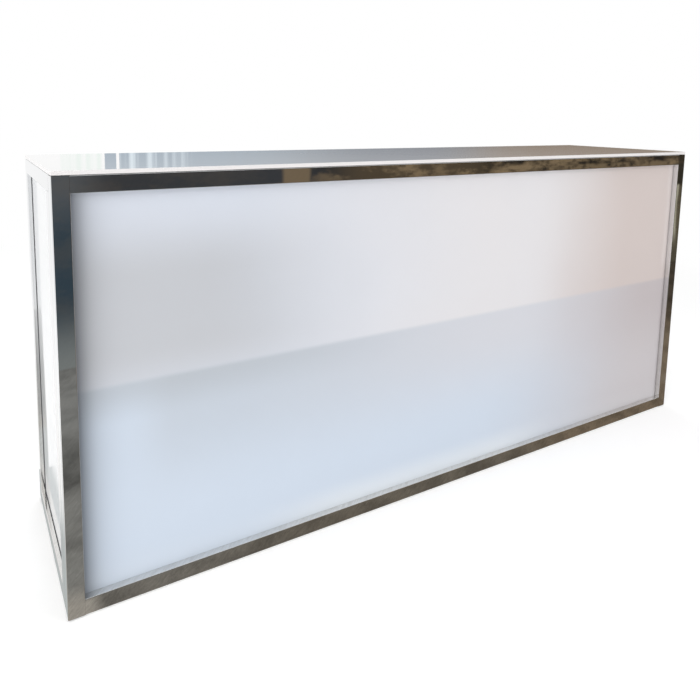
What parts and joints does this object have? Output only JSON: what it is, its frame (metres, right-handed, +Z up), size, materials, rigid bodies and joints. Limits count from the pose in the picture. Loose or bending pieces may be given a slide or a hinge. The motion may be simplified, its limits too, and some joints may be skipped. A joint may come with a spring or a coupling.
{
  "type": "bar counter",
  "caption": "Straight free-standing bar counter with a polished square-tube frame, white acrylic front, ends and top, and an open back with a shelf.",
  "frame": {"origin": "on the floor under the middle of the counter", "axes": "+Z up, -Y is the customers' front, +X to the right seen from the front"},
  "size_m": [2.35, 0.56, 1.067],
  "materials": {
    "polished_steel_frame": "mirror-polished stainless square tube with fine polishing lines",
    "satin_steel_bearers": "plain mill-finish steel tube",
    "steel_panel_angles": "satin folded steel angle",
    "opal_acrylic_panels": "glossy white opal acrylic sheet",
    "white_acrylic_top": "glossy white acrylic sheet with polished edges",
    "white_melamine_boards": "white melamine-faced chipboard",
    "foam_tape": "dark double-sided foam tape",
    "nylon_glides": "moulded dark nylon",
    "zinc_screws": "bright zinc-plated screws"
  },
  "bodies": {
    "root": {"base_bearer_left": "satin_steel_bearers", "base_bearer_left_end": "satin_steel_bearers", "base_bearer_middle": "satin_steel_bearers", "base_bearer_right": "satin_steel_bearers", "base_bearer_right_end": "satin_steel_bearers", "base_board_left": "white_melamine_boards", "base_board_right": "white_melamine_boards", "base_board_screws": "zinc_screws", "bottom_rail_back": "polished_steel_frame", "bottom_rail_front": "polished_steel_frame", "bottom_rail_left": "polished_steel_frame", "bottom_rail_right": "polished_steel_frame", "end_upright_left": "polished_steel_frame", "end_upright_right": "polished_steel_frame", "floor_glide_back_left": "nylon_glides", "floor_glide_back_right": "nylon_glides", "floor_glide_front_left": "nylon_glides", "floor_glide_front_right": "nylon_glides", "frame_welds": "polished_steel_frame", "front_panel": "opal_acrylic_panels", "front_stop_bottom": "steel_panel_angles", "front_stop_left": "steel_panel_angles", "front_stop_right": "steel_panel_angles", "front_stop_top": "steel_panel_angles", "left_panel": "opal_acrylic_panels", "left_stop_back": "steel_panel_angles", "left_stop_bottom": "steel_panel_angles", "left_stop_front": "steel_panel_angles", "left_stop_top": "steel_panel_angles", "panel_angle_screws": "zinc_screws", "panel_tapes": "foam_tape", "post_back_left": "polished_steel_frame", "post_back_right": "polished_steel_frame", "post_caps": "polished_steel_frame", "post_front_left": "polished_steel_frame", "post_front_right": "polished_steel_frame", "right_panel": "opal_acrylic_panels", "right_stop_back": "steel_panel_angles", "right_stop_bottom": "steel_panel_angles", "right_stop_front": "steel_panel_angles", "right_stop_top": "steel_panel_angles", "shelf_bearer_left": "satin_steel_bearers", "shelf_bearer_middle": "satin_steel_bearers", "shelf_bearer_right": "satin_steel_bearers", "shelf_board_left": "white_melamine_boards", "shelf_board_right": "white_melamine_boards", "shelf_board_screws": "zinc_screws", "shelf_rail_back": "satin_steel_bearers", "shelf_rail_front": "satin_steel_bearers", "shelf_rail_left": "satin_steel_bearers", "shelf_rail_right": "satin_steel_bearers", "top_bearer_left": "satin_steel_bearers", "top_bearer_middle": "satin_steel_bearers", "top_bearer_right": "satin_steel_bearers", "top_rail_back": "polished_steel_frame", "top_rail_front": "polished_steel_frame", "top_rail_left": "polished_steel_frame", "top_rail_right": "polished_steel_frame", "top_sheet": "white_acrylic_top", "top_tape": "foam_tape"}
  },
  "joints": []
}
